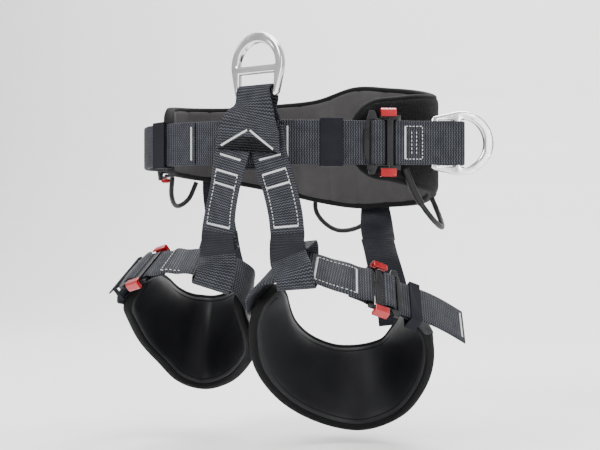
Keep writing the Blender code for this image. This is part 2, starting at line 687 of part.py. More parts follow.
def leg_axes(leg, at):
    """Direction towards higher stations, width direction and outward direction."""
    step = 0.05
    along = (leg_row(leg, at + step)[0] - leg_row(leg, at - step)[0]).normalized()
    side = leg_row(leg, at)[1]
    side = (side - along * side.dot(along)).normalized()
    return along, side, along.cross(side) * leg["turn"]


def leg_point(leg, at, offset=0.0):
    return leg_row(leg, at)[0] + leg_axes(leg, at)[2] * offset


def leg_pad_rows(leg):
    first, last = 0.25, leg["pad_end"]
    return [first + (last - first) * i / LEG_PAD_ROWS for i in range(LEG_PAD_ROWS + 1)]


def leg_pad_grid(leg, inset=0.0, columns=4):
    """Middle surface of a leg pad, with rounded ends."""
    grid = []
    for i, at in enumerate(leg_pad_rows(leg)):
        middle, half = leg_row(leg, at)
        side = leg_axes(leg, at)[1]
        reach = half.length - inset
        part = i / LEG_PAD_ROWS
        from_end = min(part, 1 - part) / 0.07
        if from_end < 1:
            reach *= math.sqrt(1 - (1 - from_end) ** 2 * 0.7)
        grid.append([middle + side * reach * (2 * j / columns - 1) for j in range(columns + 1)])
    return grid


def build_leg(model, tag):
    leg = LEGS[tag]
    pivot = f"pivot_leg_{tag}"
    model.pivot(pivot, leg["hinge"])
    half = LEG_PAD_THICK / 2

    model.solid(f"leg_pad_{tag}", slab(leg_pad_grid(leg), -half, half), "leg_fabric", pivot, 50)
    skin = sorted(-leg["turn"] * (half + gap) for gap in (LEG_LINING_GAP, LEG_LINING_GAP + LINING_THICK))
    lining = slab(leg_pad_grid(leg, 1.5), *skin)
    model.solid(f"leg_pad_lining_{tag}", lining, "leg_fabric", pivot, 50)

    along, side, outward = leg_axes(leg, BUCKLE_STATION)
    buckle = frame_of(leg_point(leg, BUCKLE_STATION, LEG_STRAP_OFFSET), along, outward)
    build_buckle(model, f"leg_{tag}", buckle, pivot)

    stations = [(point, side) for point in frame_wrap(buckle)]
    last = len(leg["stations"]) + 0.62
    start = BUCKLE_STATION + 1.25
    steps = 6
    for i in range(steps + 1):
        at = start + (last - start) * i / steps
        stations.append((leg_point(leg, at, LEG_STRAP_OFFSET), leg_axes(leg, at)[1]))
    strap(model, f"leg_front_strap_{tag}", stations, step=12.0, pivot=pivot)

    stations = []
    for at in leg_pad_rows(leg):
        if 0.85 < at < leg["web_end"]:
            stations.append((leg_point(leg, at, LEG_WEB_OFFSET), leg_axes(leg, at)[1]))
    turned = stations[-1][1]
    for place in leg["web_route"]:
        stations.append((buckle @ Vector(place), turned))
        turned = side
    strap(model, f"leg_webbing_{tag}", stations, step=25.0, pivot=pivot)

    tail = [(point, side) for point in tongue_wrap(buckle)]
    tail += [(buckle @ Vector((u, 0, n)), side) for u, n in leg["tail_route"]]
    strap(model, f"leg_tail_{tag}", tail, step=14.0, pivot=f"pivot_tongue_leg_{tag}")

    keeper = buckle @ Matrix.Translation((leg["keeper_at"], 0, 0))
    model.pivot(f"pivot_leg_keeper_{tag}", keeper.translation)
    build_keeper(model, f"leg_keeper_{tag}", keeper, leg["keeper_low"], 1.9, WEB_HALF + leg["keeper_slack"],
                 leg["keeper_length"], f"pivot_leg_keeper_{tag}")
    build_strap_loop(model, tag, leg, pivot)
    build_riser(model, tag, pivot)


def build_strap_loop(model, tag, leg, pivot):
    """Loop at a front strap's lower end: down the front of the leg strap, under it and back up."""
    at = leg["loop"]
    middle = leg_point(leg, at, LEG_STRAP_OFFSET)
    along, side, out = leg_axes(leg, at)
    top = leg["hinge"] - Vector((0, 0, 2.6))
    across = along if along.x > 0 else -along
    flat = Vector((0.99, -0.1, 0))
    route = [(top + Vector((0, 1.5, 0)), flat),
             (top + Vector((0, 3.5, -7)), flat),
             (middle + side * 29 + out * 8, across),
             (middle + side * 34.5 - out * 2, across),
             (middle + side * 20 - out * 9, across),
             (middle - side * 21 - out * 10, across),
             (middle - side * 30 - out * 2.5, across),
             (middle - side * 25.5 + out * 7.5, across),
             (top + Vector((0, -2.2, -8)), flat),
             (top + Vector((0, -1.5, 0)), flat)]
    strap(model, f"strap_loop_{tag}", route, FRONT_STRAP_WIDTH, step=8.0, pivot=pivot)


RISERS = {
    "l": {"upper": [((58, 129.6, -26), (0.96, -0.28, 0)), ((58.5, 129.6, -60), (0.96, -0.28, 0)),
                    ((62, 123.5, -79), (0.98, 0.0, -0.06)), ((71, 104, -101), (0.95, 0.25, -0.1))],
          "lower": [((71, 99, -99), (0.95, 0.25, -0.1)), ((85, 74, -125), (0.94, 0.34, -0.12)),
                    ((95, 76, -165), (0.94, 0.34, -0.12)), ((97, 83, -196), (0.94, 0.34, -0.12))]},
    "r": {"upper": [((-127.5, 90.5, -25), (0.66, 0.75, 0)), ((-127, 90, -45), (0.66, 0.75, 0)),
                    ((-120, 81, -70), (0.60, 0.78, 0.05)), ((-112, 71, -90), (0.60, 0.78, 0.05))],
          "lower": [((-110, 67, -88), (0.60, 0.78, 0.05)), ((-100, 54, -112), (0.60, 0.78, 0.05)),
                    ((-88, 45, -138), (0.60, 0.78, 0.05)), ((-81, 44, -152), (0.60, 0.78, 0.05))]},
}


def build_riser(model, tag, pivot):
    """Rear riser: an upper half on the waist belt and a lower half on the leg loop."""
    for half, under in (("upper", None), ("lower", pivot)):
        stations = [(Vector(place), Vector(side)) for place, side in RISERS[tag][half]]
        strap(model, f"riser_{half}_{tag}", stations, RISER_WIDTH, step=12.0, pivot=under)


# ---------------------------------------------------------------- gear loops

GEAR_LOOPS = {
    "l": [(141, -41, -25), (150, -31, -52), (163, -8, -78), (166, 18, -85), (158, 36, -72),
          (149, 42, -54)],
    "back": [(-19, 138.5, -47), (-18, 139, -66), (8, 141, -89), (34, 141, -86), (55, 139.5, -70),
             (58, 139, -48)],
    "r": [(-143, 0, -29.5), (-147, 6, -48), (-151, 30, -61), (-146, 50, -52), (-137.5, 53, -32.5)],
}


def build_gear_loops(model):
    for tag, route in GEAR_LOOPS.items():
        name = f"gear_loop_{tag}"
        model.pivot(f"pivot_{name}", Vector(route[0]))
        points = [Vector(p) for p in smooth_stations(route, 7.0)]
        model.tube(name, points, GEAR_TUBE_RADIUS, "tube_black", f"pivot_{name}")


def main():
    clear_scene()
    model = Model()
    build_waist_pad(model)
    build_waist_belt(model)
    build_front(model)
    for tag in LEGS:
        build_leg(model, tag)
    build_gear_loops(model)


main()
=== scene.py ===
"""Looks of the tree climbing saddle: ribbed webbing, bound pads, forged rings and quick-connect buckles.

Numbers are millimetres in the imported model's frame: +X is the wearer's left, -Y the front, +Z up.
Each strap's route is read from its own node in the frame, so every strap lies where the frame has it.
"""
import json
import math
from itertools import combinations

import bmesh
import bpy
import numpy as np
from mathutils import Matrix, Vector


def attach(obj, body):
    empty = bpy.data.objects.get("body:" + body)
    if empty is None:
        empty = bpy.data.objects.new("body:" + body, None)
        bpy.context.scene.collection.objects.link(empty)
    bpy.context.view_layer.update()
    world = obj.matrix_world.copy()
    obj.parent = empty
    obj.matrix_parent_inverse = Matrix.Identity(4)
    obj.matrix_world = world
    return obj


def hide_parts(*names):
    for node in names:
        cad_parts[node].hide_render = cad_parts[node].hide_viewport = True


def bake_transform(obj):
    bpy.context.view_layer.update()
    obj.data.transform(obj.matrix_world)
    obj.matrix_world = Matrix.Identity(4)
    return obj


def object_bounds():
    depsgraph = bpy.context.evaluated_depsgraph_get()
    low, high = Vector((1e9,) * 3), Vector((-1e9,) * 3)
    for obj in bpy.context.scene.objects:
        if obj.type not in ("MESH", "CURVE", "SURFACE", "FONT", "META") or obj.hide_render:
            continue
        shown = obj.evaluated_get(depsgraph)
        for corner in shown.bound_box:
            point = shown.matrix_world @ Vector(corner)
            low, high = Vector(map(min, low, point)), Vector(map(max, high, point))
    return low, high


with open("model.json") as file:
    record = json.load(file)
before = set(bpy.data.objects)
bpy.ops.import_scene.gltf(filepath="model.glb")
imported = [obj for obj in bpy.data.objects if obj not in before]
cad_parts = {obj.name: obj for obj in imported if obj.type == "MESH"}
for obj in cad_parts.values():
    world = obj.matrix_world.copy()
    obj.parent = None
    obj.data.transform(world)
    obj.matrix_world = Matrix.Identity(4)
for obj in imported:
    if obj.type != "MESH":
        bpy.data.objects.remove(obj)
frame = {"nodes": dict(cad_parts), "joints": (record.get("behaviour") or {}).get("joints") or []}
cad_low, cad_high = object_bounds()
NODES = frame["nodes"]
MM = 0.001

# Webbing and thread
WEB_THICK = 2.0
RIB_PITCH = 2.6
RIB_HEIGHT = 0.16
ROWS_PER_RIB = 4
TACK_WIDTH = 2.3
TACK_STEP = 0.75
RUN_STITCH = 2.3
RUN_GAP = 1.5
THREAD = 0.42

# Waist pad: x, y, lowest z, highest z, from the wearer's right tip round the back to the left tip
PAD_STATIONS = [
    (-125, -45, -24, 44), (-143, 5, -26, 50), (-138, 50, -29, 53), (-110, 92, -33, 56),
    (-60, 117, -43, 61), (-10, 126, -55, 66), (36, 125, -62, 79), (80, 112, -61, 75),
    (128, 78, -58, 66), (150, 40, -50, 57), (143, -15, -43, 52), (118, -50, -36, 46),
    (92, -67, -36, 44),
]
LINING_CHANNELS = 15

# Leg loops: middle and half-width vector of each cradle station, from the crotch end round the bottom
LEG_STATIONS = {
    "l": [
        ((17, -106, -143), (7, 16, 11)), ((2, -68, -178), (8, 27, 9)),
        ((-2, -36, -212), (10, 33, 14)), ((8, 3, -241), (8, 33, 27)),
        ((34, 36, -260), (4, 30, 36)), ((65, 55, -264), (-4, 26, 43)),
        ((100, 55, -251), (-12, 20, 41)), ((124, 39, -225), (-18, 15, 34)),
        ((139, 16, -199), (-18, 12, 24)), ((146, -12, -178), (-12, 14, 16)),
        ((138, -48, -165), (-1.6, 17.8, 13.3)),
    ],
    "r": [
        ((-23, -92, -143), (2, 20, 10)), ((-32, -50, -166), (-12, 30, 16)),
        ((-50, -6, -190), (-20, 34, 26)), ((-82, 28, -209), (-20, 30, 40)),
        ((-113, 40, -218), (-14, 26, 49)), ((-136, 30, -213), (-9, 26, 49)),
        ((-150, 7, -197), (-2, 26, 40)), ((-153, -26, -177), (4, 25, 32)),
        ((-149, -62, -158), (6, 22, 20)), ((-141, -88, -148), (5, 19, 14)),
        ((-130, -103, -142), (0.7, 18.9, 11.8)),
    ],
}
LEG_ENDS = {"l": (0.25, 9.3), "r": (0.25, 8.9)}
LEG_TURN = {"l": -1, "r": 1}

# Rings
RING_WIDTH_HALF = 33.0
RING_ARC_CENTRE = 27.5
RING_BAR_HALF = 26.5
RING_BAR_RADIUS = 4.0
RING_CROSSBAR = 23.0
RING_THICK = 8.0
RING_ROUND = 2.3
FRONT_RING = ((12, -125, 48.5), (0.951, -0.309, 0), (0.07, 0.02, 1))
SIDE_HEADING = {"l": math.radians(24.65), "r": math.radians(91.75)}

GEAR_LOOPS = {
    "l": [(141, -41, -25), (150, -31, -52), (163, -8, -78), (166, 18, -85), (158, 36, -72),
          (149, 42, -54)],
    "back": [(-19, 138.5, -47), (-18, 139, -66), (8, 141, -89), (34, 141, -86), (55, 139.5, -70),
             (58, 139, -48)],
    "r": [(-143, 0, -29.5), (-147, 6, -48), (-151, 30, -61), (-146, 50, -52), (-137.5, 53, -32.5)],
}
GEAR_RADIUS = 2.75

# View
TARGET = Vector((10.3, 3.8, -83))
VIEW_TURN = math.radians(20)
VIEW_DISTANCE = 1300
LENS = 71.1


# ---------------------------------------------------------------- camera, light and floor

def make_camera():
    data = bpy.data.cameras.new("camera")
    data.lens = LENS
    data.sensor_width = 36
    camera = bpy.data.objects.new("camera", data)
    bpy.context.scene.collection.objects.link(camera)
    away = Vector((math.sin(VIEW_TURN), -math.cos(VIEW_TURN), 0))
    camera.location = (TARGET + away * VIEW_DISTANCE) * MM
    camera.rotation_euler = (math.radians(90), 0, VIEW_TURN)
    bpy.context.scene.camera = camera


def area_light(name, place, aim, size, power):
    data = bpy.data.lights.new(name, "AREA")
    data.shape = "RECTANGLE"
    data.size, data.size_y = size
    data.energy = power
    light = bpy.data.objects.new(name, data)
    bpy.context.scene.collection.objects.link(light)
    light.location = place
    light.rotation_euler = (Vector(aim) - Vector(place)).to_track_quat("-Z", "Y").to_euler()


def make_studio():
    world = bpy.data.worlds.new("studio")
    world.use_nodes = True
    world.node_tree.nodes["Background"].inputs["Color"].default_value = (1.0, 1.0, 1.0, 1)
    world.node_tree.nodes["Background"].inputs["Strength"].default_value = 0.55
    bpy.context.scene.world = world
    area_light("key", (-0.9, -1.5, 1.2), (0, 0, -0.1), (0.9, 0.9), 44)
    area_light("fill", (1.5, -1.2, 0.3), (0, 0, -0.1), (0.5, 1.3), 16)
    area_light("top", (0.1, 0.3, 1.6), (0, 0, -0.1), (1.4, 0.8), 34)
    area_light("backdrop", (0.0, 0.9, 1.9), (0, 1.7, -0.1), (2.5, 0.8), 60)
    floor_mat, _ = plain_material("studio_floor", (0.95, 0.95, 0.95), 0.95)
    floor = mesh_object("studio_floor", *sweep_floor(), [floor_mat])


def sweep_floor():
    """Floor that curves up into a wall behind the object."""
    low = cad_low.z - 0.012
    profile = [(-3.0, low), (1.3, low)]
    profile += [(1.3 + 0.7 * math.sin(math.radians(a)), low + 0.7 * (1 - math.cos(math.radians(a))))
                for a in range(10, 91, 10)]
    profile.append((2.0, 4.0))
    verts = [(x, y, z) for y, z in profile for x in (-4.0, 4.0)]
    faces = [(2 * i, 2 * i + 1, 2 * i + 3, 2 * i + 2) for i in range(len(profile) - 1)]
    return verts, faces


# ---------------------------------------------------------------- materials

def plain_material(name, colour, roughness, metallic=0.0):
    mat = bpy.data.materials.new(name)
    mat.use_nodes = True
    shader = mat.node_tree.nodes["Principled BSDF"]
    shader.inputs["Base Color"].default_value = (*colour, 1)
    shader.inputs["Roughness"].default_value = roughness
    shader.inputs["Metallic"].default_value = metallic
    mat.diffuse_color = (*colour, 1)
    return mat, shader


class Nodes:
    """Short calls for building a material's node tree."""

    def __init__(self, mat, shader):
        self.tree = mat.node_tree
        self.shader = shader

    def add(self, kind, **inputs):
        node = self.tree.nodes.new(kind)
        for key, value in inputs.items():
            self.put(node, key.replace("_", " "), value)
        return node

    def put(self, node, key, value):
        socket = node.inputs[int(key)] if key.isdigit() else node.inputs[key]
        if isinstance(value, bpy.types.NodeSocket):
            self.tree.links.new(value, socket)
        else:
            socket.default_value = value

    def math(self, operation, first, second=0.0, third=0.0):
        node = self.tree.nodes.new("ShaderNodeMath")
        node.operation = operation
        for i, value in enumerate((first, second, third)):
            self.put(node, str(i), value)
        return node.outputs[0]

    def attribute(self, name):
        node = self.tree.nodes.new("ShaderNodeAttribute")
        node.attribute_name = name
        return node.outputs["Fac"]

    def position(self):
        return self.tree.nodes.new("ShaderNodeTexCoord").outputs["Object"]

    def noise(self, scale, detail=3.0, roughness=0.55):
        return self.add("ShaderNodeTexNoise", Vector=self.position(), Scale=scale, Detail=detail,
                        Roughness=roughness).outputs["Fac"]

    def ramp(self, value, low, high, dark, light):
        node = self.add("ShaderNodeMapRange")
        self.put(node, "Value", value)
        self.put(node, "From Min", low)
        self.put(node, "From Max", high)
        mix = self.tree.nodes.new("ShaderNodeMix")
        mix.data_type = "RGBA"
        self.tree.links.new(node.outputs[0], mix.inputs[0])
        mix.inputs[6].default_value = (*dark, 1)
        mix.inputs[7].default_value = (*light, 1)
        return mix.outputs[2]

    def bump(self, height, distance, strength=1.0):
        node = self.add("ShaderNodeBump", Height=height, Distance=distance, Strength=strength)
        self.put(self.shader, "Normal", node.outputs[0])


def webbing_material(name, dark, light):
    """Cross-ribbed webbing: crests broken into short floats and lightened by a painted highlight, with a
    fine twill in the grooves.
    """
    mat, shader = plain_material(name, dark, 0.62)
    n = Nodes(mat, shader)
    along = n.attribute("along")
    across = n.attribute("across")
    column = n.math("FLOOR", n.math("DIVIDE", across, 1.9))
    odd = n.math("MODULO", n.math("ABSOLUTE", column), 2.0)
    phase = n.math("MULTIPLY_ADD", odd, 0.24, n.math("DIVIDE", along, RIB_PITCH))
    rib = n.math("ABSOLUTE", n.math("SINE", n.math("MULTIPLY", phase, math.pi)))
    float_edge = n.math("ABSOLUTE", n.math("SINE", n.math("MULTIPLY", across, math.pi / 1.9)))
    thread = n.math("MULTIPLY", n.math("POWER", rib, 3.6), n.math("POWER", float_edge, 0.5))
    # Painted highlight: the rib crests are coloured lighter, as where light would catch them, with noise
    # varying its strength at random.
    crest_highlight = n.math("MULTIPLY", thread, n.math("MULTIPLY_ADD", n.noise(120.0), 1.5, 0.1))
    n.put(shader, "Base Color", n.ramp(crest_highlight, 0.0, 0.9, dark, light))
    n.put(shader, "Roughness", n.math("MULTIPLY_ADD", n.noise(300.0), 0.25, 0.48))
    shader.inputs["Specular IOR Level"].default_value = 0.22
    n.bump(thread, 0.25 * MM, 0.9)
    return mat


def fabric_material(name, dark, light, weave=900.0, bump=0.12, roughness=0.75, shine=0.15):
    """Woven cloth: a fine over-and-under weave and slow colour changes."""
    mat, shader = plain_material(name, dark, roughness)
    n = Nodes(mat, shader)
    cloud = n.noise(28.0, 4.0)
    fine = n.noise(weave, 2.0)
    n.put(shader, "Base Color", n.ramp(n.math("MULTIPLY_ADD", fine, 0.45, n.math("MULTIPLY", cloud, 0.75)),
                                       0.35, 0.85, dark, light))
    n.put(shader, "Roughness", n.math("MULTIPLY_ADD", cloud, 0.2, roughness - 0.1))
    shader.inputs["Specular IOR Level"].default_value = shine
    n.bump(fine, bump * MM, 0.8)
    return mat


def mesh_material(name, dark, light):
    """Spacer mesh: a net of small round holes."""
    mat, shader = plain_material(name, dark, 0.8)
    n = Nodes(mat, shader)
    cells = n.add("ShaderNodeTexVoronoi", Vector=n.position(), Scale=420.0)
    rim = cells.outputs["Distance"]
    n.put(shader, "Base Color", n.ramp(rim, 0.15, 0.5, dark, light))
    n.put(shader, "Roughness", n.math("MULTIPLY_ADD", n.noise(60.0), 0.2, 0.7))
    shader.inputs["Specular IOR Level"].default_value = 0.12
    n.bump(rim, 0.6 * MM, 0.9)
    return mat


def metal_material(name, colour, roughness, metallic, grain=0.03, coat=0.0):
    """Metal with polishing marks and slight wear in its roughness."""
    mat, shader = plain_material(name, colour, roughness, metallic)
    n = Nodes(mat, shader)
    wear = n.noise(75.0, 5.0)
    n.put(shader, "Roughness", n.math("MULTIPLY_ADD", wear, 0.22, roughness - 0.08))
    bright = tuple(min(1.0, c * 1.15 + 0.01) for c in colour)
    n.put(shader, "Base Color", n.ramp(wear, 0.3, 0.8, colour, bright))
    shader.inputs["Coat Weight"].default_value = coat
    shader.inputs["Coat Roughness"].default_value = 0.12
    n.bump(n.noise(520.0, 2.0), grain * MM, 0.5)
    return mat


def make_materials():
    return {
        "webbing": webbing_material("webbing", (0.0025, 0.003, 0.005), (0.078, 0.083, 0.100)),
        "webbing_smooth": webbing_material("webbing_smooth", (0.003, 0.0035, 0.006), (0.020, 0.022, 0.032)),
        "thread": fabric_material("thread_light", (0.46, 0.47, 0.48), (0.80, 0.80, 0.80), 2500.0, 0.05),
        "lining": fabric_material("lining", (0.034, 0.032, 0.033), (0.066, 0.063, 0.064), 1400.0, 0.1),
        "mesh": mesh_material("spacer_mesh", (0.001, 0.001, 0.001), (0.009, 0.009, 0.010)),
        "foam": fabric_material("foam_core", (0.008, 0.008, 0.009), (0.02, 0.02, 0.021)),
        "binding": fabric_material("binding_tape", (0.001, 0.001, 0.001), (0.006, 0.006, 0.007), 1800.0),
        "leg": fabric_material("leg_fabric", (0.001, 0.001, 0.002), (0.005, 0.005, 0.008), 1600.0, 0.05,
                               0.5, 0.3),
        "aluminium": metal_material("forged_aluminium", (0.80, 0.80, 0.81), 0.17, 1.0),
        "black": metal_material("anodised_black", (0.003, 0.003, 0.004), 0.27, 0.3, 0.02, 0.15),
        "red": metal_material("anodised_red", (0.34, 0.0, 0.004), 0.2, 0.25, 0.01, 0.6),
        "steel": metal_material("spring_steel", (0.5, 0.5, 0.52), 0.3, 1.0),
        "elastic": fabric_material("elastic", (0.003, 0.003, 0.005), (0.012, 0.013, 0.018), 1100.0, 0.2),
        "sleeve": fabric_material("sleeve", (0.002, 0.002, 0.003), (0.010, 0.010, 0.011), 1500.0,
                                  0.08, 0.5, 0.3),
    }


# ---------------------------------------------------------------- mesh helpers

def mesh_object(name, verts, faces, materials, smooth_angle=None):
    mesh = bpy.data.meshes.new(name)
    mesh.from_pydata([tuple(v) for v in verts], [], faces)
    mesh.validate()
    for mat in materials:
        mesh.materials.append(mat)
    if smooth_angle:
        mesh.shade_smooth()
        mesh.set_sharp_from_angle(angle=math.radians(smooth_angle))
    obj = bpy.data.objects.new(name, mesh)
    bpy.context.scene.collection.objects.link(obj)
    return obj


def ring_faces(count, sides, closed=False):
    """Faces between neighbouring rings of points; closed joins the last ring to the first."""
    last = count if closed else count - 1
    return [(i * sides + k, i * sides + (k + 1) % sides,
             (i + 1) % count * sides + (k + 1) % sides, (i + 1) % count * sides + k)
            for i in range(last) for k in range(sides)]


def float_attribute(obj, name, values):
    attribute = obj.data.attributes.new(name, "FLOAT", "POINT")
    attribute.data.foreach_set("value", np.asarray(values, np.float32))


def hermite(places, values, at):
    """Smooth interpolation of rows of numbers, known at increasing places."""
    spans = np.diff(places)
    slopes = np.diff(values, axis=0) / spans[:, None]
    weighted = slopes[:-1] * spans[1:, None] + slopes[1:] * spans[:-1, None]
    inner = weighted / (spans[:-1] + spans[1:])[:, None]
    tangents = np.vstack([slopes[:1], inner, slopes[-1:]])
    i = np.clip(np.searchsorted(places, at) - 1, 0, len(spans) - 1)
    span = spans[i][:, None]
    t = (at[:, None] - places[i][:, None]) / span
    start, end = values[i], values[i + 1]
    out, into = tangents[i] * span, tangents[i + 1] * span
    inside = ((2 * t**3 - 3 * t**2 + 1) * start + (t**3 - 2 * t**2 + t) * out
              + (3 * t**2 - 2 * t**3) * end + (t**3 - t**2) * into)
    before = values[0] + tangents[0] * (at[:, None] - places[0])
    after = values[-1] + tangents[-1] * (at[:, None] - places[-1])
    inside = np.where(at[:, None] < places[0], before, inside)
    return np.where(at[:, None] > places[-1], after, inside)


def unit(rows):
    return rows / np.linalg.norm(rows, axis=-1, keepdims=True)


# ---------------------------------------------------------------- straps

def row_sets(near, count, first):
    """The strip's rows of four corners from one end to the other, or None if first isn't an end."""
    rows, seen = [set(first)], set(first)
    while len(seen) < count:
        following = set().union(*(near[i] for i in rows[-1])) - seen
        if len(following) != 4:
            return None
        rows.append(following)
        seen |= following
    return rows


def corners_in_order(places, row, before):
    """A row as (side vector, out vector, centre), turned the same way as the row before."""
    row = sorted(row)
    partner = min(row[1:], key=lambda i: np.linalg.norm(places[i] - places[row[0]]))
    one = [row[0], partner]
    other = [i for i in row if i not in one]
    centre = places[row].mean(axis=0)
    side = (places[one].mean(axis=0) - places[other].mean(axis=0)) / 2
    out = (places[one[0]] - places[one[1]]) / 2
    if before is not None:
        side = side if side @ before[0] > 0 else -side
        out = out if out @ before[1] > 0 else -out
    return side, out, centre


def strip_rows(node, start):
    """Rows (side, out, centre) of a strap's node, from the end nearest start, in millimetres."""
    bm = bmesh.new()
    bm.from_mesh(NODES[node].data)
    bmesh.ops.remove_doubles(bm, verts=bm.verts, dist=0.02 * MM)
    bm.verts.index_update()
    near = [{e.other_vert(v).index for e in v.link_edges} for v in bm.verts]
    places = np.array([v.co for v in bm.verts]) / MM
    bm.free()
    nearest = sorted(range(len(places)), key=lambda i: np.linalg.norm(places[i] - start))
    for i in nearest[:8]:
        for others in combinations(near[i], 3):
            sets = row_sets(near, len(places), {i, *others})
            if sets:
                rows, before = [], None
                for row in sets:
                    before = corners_in_order(places, row, before)
                    rows.append(before)
                return rows
    raise ValueError(f"{node} is no strip of rows from {start}")


class Strap:
    """Webbing along rows of (side, out, centre); s is its length coordinate, a goes across it."""

    def __init__(self, rows):
        centres = np.array([row[2] for row in rows])
        steps = np.linalg.norm(np.diff(centres, axis=0), axis=1)
        keep = np.concatenate([[True], steps > 0.4])
        rows = [row for row, kept in zip(rows, keep) if kept]
        self.centres = np.array([row[2] for row in rows])
        self.sides = np.array([row[0] for row in rows])
        self.outs = unit(np.array([row[1] for row in rows]))
        steps = np.linalg.norm(np.diff(self.centres, axis=0), axis=1)
        self.places = np.concatenate([[0.0], np.cumsum(steps)])
        self.length = self.places[-1]

    def frame(self, s):
        """Centres, half-width vectors and unit outward vectors at each s."""
        centre = hermite(self.places, self.centres, s)
        side = hermite(self.places, self.sides, s)
        out = hermite(self.places, self.outs, s)
        out = out - side * ((out * side).sum(1) / (side * side).sum(1))[:, None]
        return centre, side, unit(out)

    def point(self, s, a, lift):
        """Place and outward direction at s, a millimetres across, lift above the middle layer."""
        centre, side, out = self.frame(np.array([s]))
        across = side[0] / np.linalg.norm(side[0])
        return centre[0] + across * a + out[0] * lift, out[0]

    def nearest(self, place):
        """The s of the centre line's point nearest to a place."""
        s = np.linspace(0, self.length, 400)
        gap = np.linalg.norm(self.frame(s)[0] - np.array(place), axis=1)
        return float(s[gap.argmin()])

    def facing(self, s, place):
        """1 where the out side faces a place, else -1."""
        point, out = self.point(s, 0, 0)
        return 1 if (np.array(place) - point) @ out > 0 else -1


EDGE = [(1.0, 0.0), (0.985, 0.62), (0.94, 0.95), (0.6, 1.0), (0.2, 1.0)]
PROFILE = (EDGE + [(-x, y) for x, y in reversed(EDGE)]
           + [(-x, -y) for x, y in EDGE[1:]] + [(x, -y) for x, y in reversed(EDGE[1:])])


def web_mesh(name, strap, mat, hem=None, sleeve=None):
    """Ribbed webbing with round edges. hem(a) moves its last edge along the strap, by a from -1 to 1.

    sleeve is the stretch (from s, to s) drawn with the darker, smoother webbing_smooth material.
    """
    count = max(8, int(strap.length / RIB_PITCH * ROWS_PER_RIB))
    s = np.linspace(0, strap.length, count + 1)
    around = np.array(PROFILE)
    grid = np.repeat(s[:, None], len(around), axis=1)
    if hem:
        late = np.clip((grid - strap.length + 26) / 26, 0, 1)
        grid = grid + late * np.array([hem(x) for x, _ in around])[None, :]
    flat = grid.ravel()
    centre, side, out = strap.frame(flat)
    x = np.tile(around[:, 0], len(s))
    y = np.tile(around[:, 1], len(s))
    grooves = RIB_HEIGHT * (1 - np.abs(np.sin(math.pi * flat / RIB_PITCH)) ** 0.7)
    ends = np.minimum(flat, strap.length - flat) < 0.01
    height = (WEB_THICK / 2 - np.where(ends, 0.25, grooves)) * y
    verts = (centre + side * x[:, None] + out * height[:, None]) * MM
    wide = len(around)
    faces = ring_faces(count + 1, wide)
    faces.append(tuple(range(wide)))
    faces.append(tuple(count * wide + k for k in reversed(range(wide))))
    obj = mesh_object(name, verts, faces, [mat, MATERIALS["webbing_smooth"]], 50)
    float_attribute(obj, "along", flat)
    float_attribute(obj, "across", x * np.linalg.norm(side, axis=1))
    if sleeve:
        for face in obj.data.polygons:
            covered = sleeve[0] < flat[face.vertices[0]] < sleeve[1]
            face.material_index = int(covered)
    fix_normals(obj)
    return obj


def fix_normals(obj):
    bm = bmesh.new()
    bm.from_mesh(obj.data)
    bmesh.ops.recalc_face_normals(bm, faces=bm.faces)
    bm.to_mesh(obj.data)
    bm.free()


# ---------------------------------------------------------------- stitches

class Thread:
    """Collects short threads into one mesh."""

    SIDES = 5
    # Each ring of a thread: its share of the length, its girth and its rise, in thread radii
    RINGS = ((0.0, 0.35, -0.5), (0.18, 0.95, 0.35), (0.5, 1.05, 0.6), (0.82, 0.95, 0.35),
             (1.0, 0.35, -0.5))

    def __init__(self):
        self.verts = []
        self.faces = []

    def stitch(self, start, end, up):
        along = end - start
        length = np.linalg.norm(along)
        along = along / length
        across = np.cross(along, up)
        base = len(self.verts)
        for share, girth, rise in self.RINGS:
            middle = start + along * length * share + up * THREAD * rise
            for k in range(self.SIDES):
                angle = 2 * math.pi * k / self.SIDES
                offset = across * math.cos(angle) + up * math.sin(angle)
                self.verts.append((middle + offset * THREAD * girth) * MM)
        for i in range(len(self.RINGS) - 1):
            for k in range(self.SIDES):
                a = base + i * self.SIDES + k
                b = base + i * self.SIDES + (k + 1) % self.SIDES
                self.faces.append((a, b, b + self.SIDES, a + self.SIDES))
        self.faces.append(tuple(base + k for k in reversed(range(self.SIDES))))
        last = base + (len(self.RINGS) - 1) * self.SIDES
        self.faces.append(tuple(last + k for k in range(self.SIDES)))

    def line(self, strap, start, end, face, kind):
        """A seam from (s, a) to (s, a) on one face of a strap: a dense bar tack or running stitches."""
        lift = (WEB_THICK / 2 + 0.12) * face
        span = math.dist(start, end)
        step = TACK_STEP if kind == "tack" else RUN_STITCH + RUN_GAP
        count = max(1, round(span / step))
        direction = ((end[0] - start[0]) / span, (end[1] - start[1]) / span)
        square = (-direction[1], direction[0])
        for i in range(count):
            s = start[0] + direction[0] * span * (i + 0.5) / count
            a = start[1] + direction[1] * span * (i + 0.5) / count
            if kind == "tack":
                lean = 0.35 if i % 2 else -0.35
                reach = (square[0] * TACK_WIDTH / 2 + direction[0] * lean,
                         square[1] * TACK_WIDTH / 2 + direction[1] * lean)
            else:
                reach = (direction[0] * RUN_STITCH / 2, direction[1] * RUN_STITCH / 2)
            one, up = strap.point(s - reach[0], a - reach[1], lift)
            other, _ = strap.point(s + reach[0], a + reach[1], lift)
            self.stitch(one, other, up * face)

    def finish(self, name):
        obj = mesh_object(name, self.verts, self.faces, [MATERIALS["thread"]], 60)
        return obj


# ---------------------------------------------------------------- the saddle's straps

EYE = np.array((TARGET + Vector((math.sin(VIEW_TURN), -math.cos(VIEW_TURN), 0)) * VIEW_DISTANCE))


def simple_strap(node, start, body, look="webbing", **shape):
    """Webbing over one node of a body."""
    strap = Strap(strip_rows(node, start))
    obj = web_mesh(node + "_web", strap, MATERIALS[look], **shape)
    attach(obj, body)
    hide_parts(node)
    return strap


